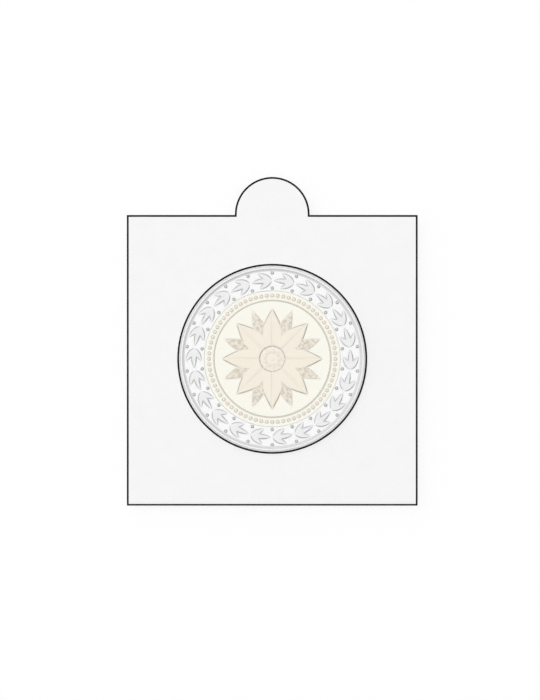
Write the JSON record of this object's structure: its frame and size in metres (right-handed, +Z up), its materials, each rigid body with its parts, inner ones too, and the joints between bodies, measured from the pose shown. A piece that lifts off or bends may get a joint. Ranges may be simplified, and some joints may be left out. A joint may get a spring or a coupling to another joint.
{
  "type": "cardboard coin holder",
  "caption": "Square folded card coin holder with a film-covered round window in each half, a half-round thumb tab opposite the fold, and a coin of ring and core held inside.",
  "frame": {"origin": "centre of the windows and of the coin, on the flat disc of the back film that the holder rests on", "axes": "+Z up out of the front card, +Y from the fold to the edge with the thumb tab, X along the fold"},
  "size_m": [0.0428, 0.0484, 0.0024],
  "materials": {
    "board": "matte",
    "film": "gloss",
    "adhesive": "satin",
    "ring_metal": "satin",
    "core_metal": "satin"
  },
  "bodies": {
    "back_leaf": {"back_card": "board", "fold_crease": "board", "back_film": "film", "back_adhesive": "adhesive"},
    "front_leaf": {"front_card": "board", "front_film": "film", "front_adhesive": "adhesive"},
    "coin": {"coin_ring": "ring_metal", "coin_core": "core_metal"}
  },
  "joints": [
    {"name": "fold_hinge", "type": "hinge", "parent": "back_leaf", "child": "front_leaf", "pos_m": [0, -0.02099, 0.00118], "axis": [1, 0, 0], "range_deg": [0, 180], "deforming": ["fold_crease"]},
    {"name": "coin_turn", "type": "hinge", "parent": "back_leaf", "child": "coin", "pos_m": [0, 0, 0.00118], "axis": [0, 0, 1], "continuous": true}
  ]
}
